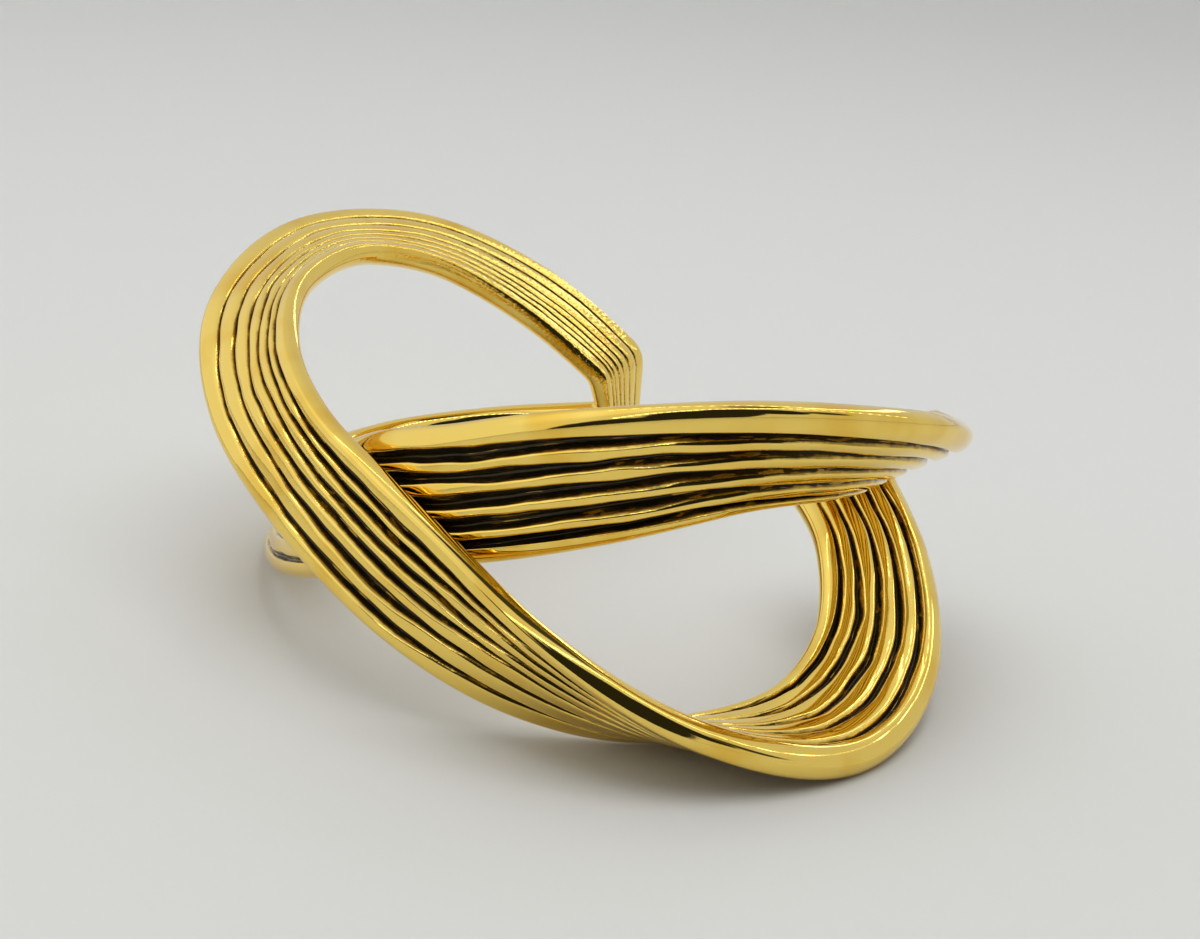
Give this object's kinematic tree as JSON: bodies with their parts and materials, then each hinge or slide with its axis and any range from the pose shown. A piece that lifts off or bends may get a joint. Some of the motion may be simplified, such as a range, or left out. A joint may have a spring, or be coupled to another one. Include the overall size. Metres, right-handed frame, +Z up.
{
  "type": "twisted cuff bracelet",
  "caption": "Open wrist cuff made of a flat ribbed metal band that crosses over itself at the front and leaves an open lobe on each side.",
  "frame": {"origin": "middle of the bounding box's base, on the surface that the cuff lies on", "axes": "+Z up, about 5 degrees off the wrist's axis; -Y towards the crossing at the front; +X towards the low lobe"},
  "size_m": [0.0812, 0.0616, 0.0322],
  "materials": {
    "gold_plate": "polished yellow gold plate, dark patina in the grooves"
  },
  "bodies": {
    "root": {"cuff": "gold_plate"}
  },
  "joints": []
}
